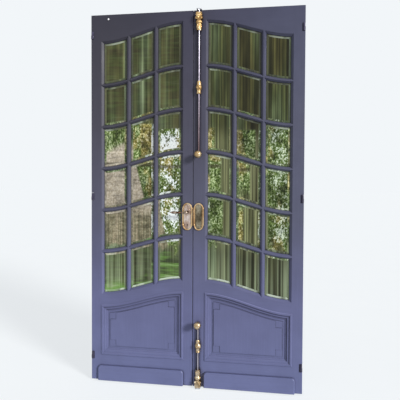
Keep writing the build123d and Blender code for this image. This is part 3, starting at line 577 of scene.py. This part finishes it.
def plate_metal(name, middle_x, field_tones):
    """A lock plate: gilded rim, and a worn field of its own colour inside it."""
    recipe = Recipe(name)
    across, _, height = recipe.axes()
    along = recipe.math("ABSOLUTE", recipe.minus(height, leaf_foot + plate_middle))
    past = recipe.larger(recipe.minus(along, plate_straight), 0.0)
    aside = recipe.minus(across, middle_x)
    out = recipe.math("SQRT", recipe.plus(recipe.times(past, past), recipe.times(aside, aside)))
    inside = recipe.falling(
        out, plate_field_half - plate_field_edge, plate_field_half + plate_field_edge
    )
    wear = recipe.noise(recipe.place, 120.0, detail=4.0, roughness=0.7)
    cloud = recipe.noise(recipe.stretched((1, 1, 0.5)), 36.0)
    rubbed = recipe.plus(recipe.times(wear, 0.35), recipe.times(cloud, 0.65))
    # Darker brown where other faces stand close: dirt and painted shade in the rim's hollows
    dirt_and_shade = recipe.between(recipe.openness(0.006), 0.45, 0.92, 0.9, 0.0)
    rim = recipe.toward(dirt_and_shade, recipe.tones(rubbed, *gilt_rim), (70, 40, 26))
    blotch = recipe.plus(recipe.times(wear, 0.3), recipe.times(cloud, 0.7))
    return recipe.finish(
        Base_Color=recipe.mix(inside, rim, recipe.tones(blotch, *field_tones)),
        Metallic=1.0,
        Specular_Tint=(0.4, 0.25, 0.18, 1.0),
        Roughness=recipe.between(wear, 0.3, 0.7, 0.42, 0.28),
        Normal=recipe.bump(wear, 0.2, 0.0003),
    )


def bolt_rod():
    """Bright drawn rod: a painted dark reflection along its flanks, dull brown near the upper knob.
    """
    recipe = Recipe("rod_steel")
    sideways = recipe.axes(recipe.facing)["X"]
    height = recipe.axes()["Z"]
    drawn = recipe.noise(recipe.stretched((500.0, 500.0, 14.0)), 1.0, 3.0, 0.6)
    patch = recipe.noise(recipe.stretched((60.0, 60.0, 22.0)), 1.0, 3.0, 0.6)
    tone = recipe.tones(recipe.math("DIVIDE", height, leaf_top), *rod_tones)
    tone = recipe.shaded(tone, recipe.ramp(patch, (0.34, 0.72), (0.62, 1.08)))
    # Painted reflection: the rod's flanks darkened as if they mirrored dark surroundings
    dark_flank_reflection = recipe.between(recipe.math("ABSOLUTE", recipe.minus(sideways, 0.14)), 0.3, 0.62)
    return recipe.finish(
        Base_Color=recipe.toward(dark_flank_reflection, tone, (52, 44, 50)),
        Metallic=0.85,
        Roughness=recipe.between(drawn, 0.3, 0.7, 0.3, 0.42),
        Normal=recipe.bump(drawn, 0.1, 0.0003),
    )


def steel(name, tone, roughness, metallic=1.0):
    """Drawn or brushed steel with fine marks along Z."""
    recipe = Recipe(name)
    drawn = recipe.noise(recipe.stretched((700.0, 700.0, 9.0)), 1.0, 3.0, 0.6)
    patch = recipe.ramp(recipe.noise(recipe.place, 30.0), (0.3, 0.78), (0.7, 1.15))
    return recipe.finish(
        Base_Color=recipe.shaded(screen_colour(*tone), patch),
        Metallic=metallic,
        Specular_Tint=(0.3, 0.26, 0.34, 1.0),
        Roughness=recipe.between(drawn, 0.3, 0.7, roughness - 0.06, roughness + 0.08),
        Normal=recipe.bump(drawn, 0.1, 0.0003),
    )


def button_white():
    """White moulded button with a dark rim where it meets the rail."""
    recipe = Recipe("button_white")
    low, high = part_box("stop_button")
    radius = (high.x - low.x) / 2
    out = recipe.vector("DISTANCE", recipe.place, tuple((low + high) / 2))["Value"]
    dust = recipe.noise(recipe.place, 160.0)
    tint = recipe.tones(dust, (0.3, (222, 222, 226)), (0.7, (248, 248, 250)))
    rim = recipe.between(out, radius * 0.82, radius * 0.95)
    return recipe.finish(
        Base_Color=recipe.toward(rim, tint, (58, 54, 60)),
        Roughness=recipe.between(dust, 0.3, 0.7, 0.2, 0.3),
    )


paint_upright = painted_timber("paint_upright", grain_upright)
# The meeting stiles get a wider, darker halo of dirt and painted shade round the fittings, and the
# panels a narrow one in their grooves
paint_meeting = painted_timber("paint_meeting", grain_upright, grime_and_shade=0.02, depth=0.9)
paint_level = painted_timber("paint_level", grain_level)
paint_panel = painted_timber("paint_panel", grain_upright, grime_and_shade=0.006, depth=0.95)
paint_moulding = painted_timber("paint_moulding", grain_level, depth=0.6, ledges=True)
glass = bevelled_glass()
lock_plate_metal = plate_metal("lock_plate_metal", lock_plate_x, silvered)
blank_plate_metal = plate_metal("blank_plate_metal", blank_plate_x, tarnished)
# The lever's dark browns are a painted reflection of dark surroundings in polished brass, and its
# pale spots painted highlights
lever_brass = gilt_brass(
    "lever_brass", bright=(92, 66, 50), dark=(20, 12, 10), pale=(214, 196, 178),
    roughness=0.24, reach=0.014,
)
cast_brass = gilt_brass(
    "cast_brass", bright=(184, 158, 120), dark=(50, 30, 20), pale=(240, 226, 200),
    roughness=0.3,
)
rod_steel = bolt_rod()
hinge_steel = steel("hinge_steel", (66, 64, 82), 0.5, metallic=0.3)
lock_steel = steel("lock_steel", (150, 146, 140), 0.34)
keeper_steel = steel("keeper_steel", (214, 216, 222), 0.4, metallic=0.6)

finishes = {
    "outer_stile": paint_upright,
    "meeting_stile": paint_meeting,
    "upright_bars": paint_upright,
    "panel": paint_panel,
    "top_rail": paint_level,
    "middle_rail": paint_level,
    "bottom_rail": paint_level,
    "cross_bars": paint_level,
    "panel_moulding": paint_moulding,
    "kick_board": paint_level,
    "glazing_beads": paint_level,
    "panes": glass,
    "hinge_knuckles": hinge_steel,
    "hinge_pintles": hinge_steel,
    "jamb": paint_upright,
    "frame_head": paint_level,
    "frame_sill": paint_level,
    "head_keeper": keeper_steel,
    "sill_keeper": keeper_steel,
    "lock_case": lock_steel,
    "lock_forend": lock_steel,
    "strike_plate": lock_steel,
    "latch_bolt": lock_steel,
    "dead_bolt": lock_steel,
    "spindle": lock_steel,
    "front_lock_plate": lock_plate_metal,
    "back_lock_plate": lock_plate_metal,
    "blank_plate": blank_plate_metal,
    "front_lever": lever_brass,
    "back_lever": lever_brass,
    "upper_guide": cast_brass,
    "lower_guide": cast_brass,
    "upper_end_guide": cast_brass,
    "lower_end_guide": cast_brass,
    "upper_knob": cast_brass,
    "lower_knob": cast_brass,
    "upper_rod": rod_steel,
    "lower_rod": rod_steel,
    "stop_button": button_white(),
}
for name, part in nodes.items():
    kind = name
    for side in ("left_", "right_"):
        kind = kind.removeprefix(side)
    part.data.materials.clear()
    part.data.materials.append(finishes[kind])

# Carving: half sizes of each body, in metres along its own X, Y and Z
pearl = (0.0017, 0.0017, 0.0017)
ribbon = (0.0019, 0.0017, 0.0098)
gadroon = (0.0016, 0.0018, 0.011)
bud = (0.0018, 0.0024, 0.0066)
shell_rib = (0.0027, 0.0022, 0.0165)
shell_root = (0.0062, 0.0032, 0.0046)
scroll = (0.0052, 0.0024, 0.0052)
scroll_eye = (0.0024, 0.0022, 0.0024)
collar_pearl = (0.0019, 0.0019, 0.0019)
knob_petal = (0.0052, 0.0016, 0.0024)
unturned = (0.0, 0.0, 0.0)

# Rows round the guides: share of the guide's height, and radius about the rod's axis
guide_pearls = ((0.12, 0.0112), (0.335, 0.0132), (0.665, 0.0132), (0.88, 0.0112))
guide_ribbons = (0.5, 0.0156)
ribbon_tilt = 0.62
end_guide_pearls = ((0.09, 0.0128), (0.565, 0.0128))
end_guide_gadroons = (0.22, 0.0135)
end_guide_buds = (0.455, 0.0172)
band_sink = 0.001
pearl_count = 20
ribbon_count = 9
flute_count = 15

# A shell over each end guide: its start as a share of the guide's height, then metres
shell_start = 0.6
shell_depth = 0.0252
shell_length = 0.021
shell_shortening = 0.001
shell_spread = 0.3
shell_root_rise = 0.004
scroll_aside = 0.0124
scroll_rise = 0.0085
scroll_back = 0.0006
scroll_eye_front = 0.0016

# A collar behind each knob, and petals sunk a little into its front
collar_count = 16
collar_radius = 0.0122
collar_back = 0.019
petal_count = 10
petal_aside = 0.45
petal_front = -0.9
petal_sink = 0.0004

# Screws: heads, and how far from the middle of their plate they stand
screw_radius = 0.0028
screw_height = 0.0008
screw_slot = 0.0008
plate_screw_rise = 0.066
forend_screw_rise = 0.086
keeper_screw_aside = 0.0095
keeper_screw_heights = (("head_keeper", leaf_top - 0.009), ("sill_keeper", 0.011))
keeper_face = -0.0252
plate_proud = 0.004


def point_mesh(name, points):
    """A mesh of loose points that carry the turn and the size of what is set on them."""
    mesh = bpy.data.meshes.new(name)
    mesh.from_pydata([place for place, turned, sized in points], [], [])
    for label, part in (("turned", 1), ("sized", 2)):
        layer = mesh.attributes.new(label, "FLOAT_VECTOR", "POINT")
        layer.data.foreach_set("vector", [value for point in points for value in point[part]])
    return mesh


def setting_tree(name, sizes):
    """A Geometry Nodes tree with named inputs, and a way to set a solid on every point."""
    tree = bpy.data.node_groups.new(name, "GeometryNodeTree")
    for label, way, kind in (
        ("Points", "INPUT", "NodeSocketGeometry"),
        *((size, "INPUT", "NodeSocketFloat") for size in sizes),
        ("Finish", "INPUT", "NodeSocketMaterial"),
        ("Metalwork", "OUTPUT", "NodeSocketGeometry"),
    ):
        tree.interface.new_socket(name=label, in_out=way, socket_type=kind)
    wiring = Wiring(tree)
    start = wiring.add("NodeGroupInput")
    end = wiring.add("NodeGroupOutput")

    def carried(label):
        return wiring.add(
            "GeometryNodeInputNamedAttribute", {"Name": label}, data_type="FLOAT_VECTOR"
        ).outputs["Attribute"]

    def set_on_points(solid):
        turn = wiring.add("FunctionNodeEulerToRotation", {"Euler": carried("turned")})
        placed = wiring.add("GeometryNodeInstanceOnPoints", {
            "Points": start.outputs["Points"],
            "Instance": solid,
            "Rotation": turn.outputs["Rotation"],
            "Scale": carried("sized"),
        })
        whole = wiring.add(
            "GeometryNodeRealizeInstances", {"Geometry": placed.outputs["Instances"]}
        )
        finished = wiring.add("GeometryNodeSetMaterial", {
            "Geometry": whole.outputs["Geometry"], "Material": start.outputs["Finish"],
        })
        wiring.feed(end.inputs["Metalwork"], finished.outputs["Geometry"])

    return wiring, start.outputs, set_on_points


def petal_tree():
    """Rounded petals, beads and ribs: one smooth body, stretched by each point's size."""
    wiring, given, set_on_points = setting_tree("carved_petals", ("Fullness",))
    body = wiring.add("GeometryNodeMeshUVSphere", {
        "Segments": 12, "Rings": 8, "Radius": given["Fullness"],
    })
    smooth = wiring.add("GeometryNodeSetShadeSmooth", {"Geometry": body.outputs["Mesh"]})
    set_on_points(smooth.outputs["Geometry"])
    return wiring.tree


def screw_tree():
    """Slotted screw heads: a low turned disc with a cut across it."""
    wiring, given, set_on_points = setting_tree(
        "slotted_screws", ("Radius", "Height", "Slot width")
    )
    radius, height = given["Radius"], given["Height"]
    disc = wiring.add("GeometryNodeMeshCone", {
        "Vertices": 20, "Radius Top": wiring.times(radius, 0.8), "Radius Bottom": radius,
        "Depth": height,
    })
    blade = wiring.add("ShaderNodeCombineXYZ", {
        "X": wiring.times(radius, 3.0), "Y": given["Slot width"], "Z": height,
    })
    lift = wiring.add("ShaderNodeCombineXYZ", {"Z": height})
    bar = wiring.add("GeometryNodeMeshCube", {"Size": blade.outputs["Vector"]})
    raised = wiring.add("GeometryNodeTransform", {
        "Geometry": bar.outputs["Mesh"], "Translation": lift.outputs["Vector"],
    })
    slotted = wiring.add(
        "GeometryNodeMeshBoolean",
        {"Mesh 1": disc.outputs["Mesh"], "Mesh 2": raised.outputs["Geometry"]},
        operation="DIFFERENCE",
    )
    set_on_points(slotted.outputs["Mesh"])
    return wiring.tree


def set_pieces(name, body, slot, tree, points, **values):
    """Run a tree over its points and keep the result as one plain mesh on a body."""
    holder = bpy.data.objects.new(name + "_points", point_mesh(name + "_points", points))
    collection.objects.link(holder)
    worker = holder.modifiers.new("setting", "NODES")
    worker.node_group = tree
    for item in tree.interface.items_tree:
        label = item.name.replace(" ", "_").lower()
        if item.in_out == "INPUT" and label in values:
            worker[item.identifier] = values[label]
    bpy.context.view_layer.update()
    shaped = holder.evaluated_get(bpy.context.evaluated_depsgraph_get())
    mesh = bpy.data.meshes.new_from_object(shaped)
    mesh.name = name
    for label in ("turned", "sized"):
        if label in mesh.attributes:
            mesh.attributes.remove(mesh.attributes[label])
    bpy.data.objects.remove(holder)
    piece = bpy.data.objects.new(name, mesh)
    collection.objects.link(piece)
    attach(piece, body)
    return piece


def middle_of(node):
    low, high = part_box(node)
    return (low + high) / 2


def round_band(axis, height, radius, count, sized, tilt=0.0, start=0.0):
    """Places round an upright rod, leaving out those that would lie inside the leaf."""
    points = []
    for number in range(count):
        angle = 2 * math.pi * number / count + start
        across = axis.x + radius * math.cos(angle)
        place = Vector((across, axis.y + radius * math.sin(angle), height))
        if place.y < leaf_front + band_sink:
            points.append((tuple(place), (tilt, 0.0, angle), sized))
    return points


def shell(axis, root, way):
    """A fluted shell over an end guide: five ribs, their root and two scrolls beside it."""
    face = leaf_front - shell_depth
    points = []
    for number in range(-2, 3):
        lean = number * shell_spread
        reach = shell_length - shell_shortening * abs(number)
        middle = (axis.x + reach * math.sin(lean), face, root + way * reach * math.cos(lean))
        points.append((middle, (0.0, way * lean, 0.0), shell_rib))
    points.append(((axis.x, face, root + way * shell_root_rise), unturned, shell_root))
    for side in (-1, 1):
        across = axis.x + side * scroll_aside
        height = root + way * scroll_rise
        points.append(((across, face + scroll_back, height), unturned, scroll))
        points.append(((across, face - scroll_eye_front, height), unturned, scroll_eye))
    return points


def carve_guides():
    """Pearls, crossed ribbons, gadroons and fluted shells on the four rod guides."""
    axis = middle_of("upper_rod")
    first = math.pi / 2
    points = []
    for node in ("upper_guide", "lower_guide"):
        low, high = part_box(node)
        tall = high.z - low.z
        for share, radius in guide_pearls:
            points += round_band(axis, low.z + share * tall, radius, pearl_count, pearl)
        share, radius = guide_ribbons
        for tilt in (ribbon_tilt, -ribbon_tilt):
            points += round_band(
                axis, low.z + share * tall, radius, ribbon_count, ribbon, tilt, first
            )
    for node, way in (("upper_end_guide", 1), ("lower_end_guide", -1)):
        low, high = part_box(node)
        tall = high.z - low.z
        start = low.z if way > 0 else high.z
        for share, radius in end_guide_pearls:
            points += round_band(
                axis, start + way * share * tall, radius, pearl_count, pearl
            )
        for (share, radius), sized in ((end_guide_gadroons, gadroon), (end_guide_buds, bud)):
            points += round_band(
                axis, start + way * share * tall, radius, flute_count, sized, start=first
            )
        points += shell(axis, start + way * shell_start * tall, way)
    set_pieces(
        "guide_carving", "right_leaf", "aged_brass", petals, points, fullness=1.0, finish=cast_brass
    )


def carve_knobs():
    """A pearled collar and a ring of petals on each knob, which slide with their rods."""
    for node, body in (("upper_knob", "upper_bolt"), ("lower_knob", "lower_bolt")):
        low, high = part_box(node)
        radius = (high.z - low.z) / 2
        middle = middle_of(node)
        middle.y = low.y + radius
        points = []
        for number in range(collar_count):
            angle = 2 * math.pi * number / collar_count
            across, up = collar_radius * math.cos(angle), collar_radius * math.sin(angle)
            place = middle + Vector((across, collar_back, up))
            points.append((tuple(place), unturned, collar_pearl))
        for number in range(petal_count):
            angle = 2 * math.pi * number / petal_count
            across, up = math.cos(angle) * petal_aside, math.sin(angle) * petal_aside
            out = Vector((across, petal_front, up)).normalized()
            place = middle + out * (radius - petal_sink)
            points.append((tuple(place), (0.0, -angle, 0.0), knob_petal))
        set_pieces(
            node + "_carving", body, "aged_brass", petals, points, fullness=1.0, finish=cast_brass
        )


def fit_screws():
    """Screws in the lock plates, the forend, the strike plate and the two keepers."""
    whole = (1.0, 1.0, 1.0)
    facing_out = math.pi / 2
    left, right, fixed = [], [], []

    def add_pair(group, middle, rise, turns):
        for side, turn in zip((-1, 1), turns):
            group.append(((middle[0], middle[1], middle[2] + side * rise), turn, whole))

    for node, group in (("front_lock_plate", left), ("blank_plate", right)):
        middle = middle_of(node)
        middle.y = leaf_front - plate_proud
        turns = ((facing_out, 0.5, 0.0), (facing_out, -0.9, 0.0))
        add_pair(group, middle, plate_screw_rise, turns)
    middle = middle_of("back_lock_plate")
    middle.y = leaf_back + plate_proud
    turns = ((-facing_out, 0.2, 0.0), (-facing_out, 1.1, 0.0))
    add_pair(left, middle, plate_screw_rise, turns)
    for node, group, way in (("lock_forend", left, 1), ("strike_plate", right, -1)):
        low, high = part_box(node)
        middle = middle_of(node)
        middle.x = high.x if way > 0 else low.x
        turns = ((0.3, way * facing_out, 0.0), (1.2, way * facing_out, 0.0))
        add_pair(group, middle, forend_screw_rise, turns)
    for node, height in keeper_screw_heights:
        middle = middle_of(node)
        for side in (-1, 1):
            place = (middle.x + side * keeper_screw_aside, keeper_face, height)
            fixed.append((place, (facing_out, 0.4 * side, 0.0), whole))
    for name, body, points in (
        ("left_leaf_screws", "left_leaf", left),
        ("right_leaf_screws", "right_leaf", right),
        ("keeper_screws", "frame", fixed),
    ):
        set_pieces(
            name, body, "lock_steel", screws, points, radius=screw_radius,
            height=screw_height, slot_width=screw_slot, finish=lock_steel,
        )


petals = petal_tree()
screws = screw_tree()
carve_guides()
carve_knobs()
fit_screws()


# Camera, fitted to the four corners of the two leaves
camera_place = Vector((0.4089, -2.662, 1.3177))
turn_left = 0.14238
look_up = -0.02303
camera_lean = 0.00417
focal_pixels = 430.0
frame_pixels = 400.0
centre_row = 183.9


def make_camera():
    """The photograph's view, with its horizon a little above the middle row."""
    ahead = Vector((
        -math.sin(turn_left) * math.cos(look_up),
        math.cos(turn_left) * math.cos(look_up),
        math.sin(look_up),
    ))
    level = Vector((math.cos(turn_left), math.sin(turn_left), 0.0))
    upward = level.cross(ahead)
    right = math.cos(camera_lean) * level + math.sin(camera_lean) * upward
    up = right.cross(ahead)
    camera = bpy.data.cameras.new("camera")
    camera.sensor_width = 36.0
    camera.lens = focal_pixels / frame_pixels * camera.sensor_width
    camera.shift_y = (centre_row - frame_pixels / 2) / frame_pixels
    holder = bpy.data.objects.new("camera", camera)
    turned = Matrix((right, up, -ahead)).transposed().to_4x4()
    holder.matrix_world = Matrix.Translation(camera_place) @ turned
    collection.objects.link(holder)
    bpy.context.scene.camera = holder


def make_sun():
    """A low soft key light from the right of the front."""
    towards = Vector((0.754, -0.54, 0.373))
    sun = bpy.data.lights.new("key_light", "SUN")
    sun.energy = 3.6
    sun.angle = math.radians(14)
    sun.color = (1.0, 0.985, 0.96)
    holder = bpy.data.objects.new("key_light", sun)
    holder.rotation_mode = "QUATERNION"
    holder.rotation_quaternion = towards.to_track_quat("Z", "Y")
    collection.objects.link(holder)


def make_world():
    """Soft fill light all round, and the pale backdrop where it is looked at."""
    world = bpy.data.worlds.new("studio")
    world.use_nodes = True
    wiring = Wiring(world.node_tree)
    wiring.tree.nodes.clear()
    path = wiring.add("ShaderNodeLightPath").outputs
    looked_at = path["Is Camera Ray"]
    for kind in ("Is Glossy Ray", "Is Transmission Ray"):
        looked_at = wiring.larger(looked_at, path[kind])
    fill = wiring.add("ShaderNodeBackground", {"Color": (0.95, 0.97, 1.0, 1.0), "Strength": 0.38})
    backdrop = wiring.add("ShaderNodeBackground", {"Color": screen_colour(242, 246, 249)})
    choice = wiring.add("ShaderNodeMixShader", {
        0: looked_at, 1: fill.outputs["Background"], 2: backdrop.outputs["Background"],
    })
    wiring.add("ShaderNodeOutputWorld", {"Surface": choice.outputs["Shader"]})
    bpy.context.scene.world = world


def make_floor():
    """A pale floor that glows a little where it is looked at, and keeps the doors' shadow."""
    half = 30.0
    glow_share = 0.7
    mesh = bpy.data.meshes.new("floor")
    corners = [(-half, -half, 0), (half, -half, 0), (half, half, 0), (-half, half, 0)]
    mesh.from_pydata(corners, [], [(0, 1, 2, 3)])
    floor = bpy.data.objects.new("floor", mesh)
    collection.objects.link(floor)
    recipe = Recipe("floor")
    grain = recipe.noise(recipe.place, 3.0, 2.0)
    pale = recipe.tones(grain, (0.3, (238, 242, 245)), (0.7, (241, 245, 248)))
    surface = recipe.finish(Base_Color=pale, Roughness=0.9)
    glow = recipe.add("ShaderNodeEmission", {"Color": (0.965, 1.0, 1.025, 1.0)})
    path = recipe.add("ShaderNodeLightPath").outputs
    mix = recipe.add("ShaderNodeMixShader", {
        0: recipe.times(path["Is Camera Ray"], glow_share),
        1: recipe.shader.outputs["BSDF"],
        2: glow.outputs["Emission"],
    })
    recipe.feed(recipe.tree.nodes["Material Output"].inputs["Surface"], mix.outputs["Shader"])
    mesh.materials.append(surface)


make_camera()
make_sun()
make_world()
make_floor()
bpy.context.scene.view_settings.view_transform = "Standard"
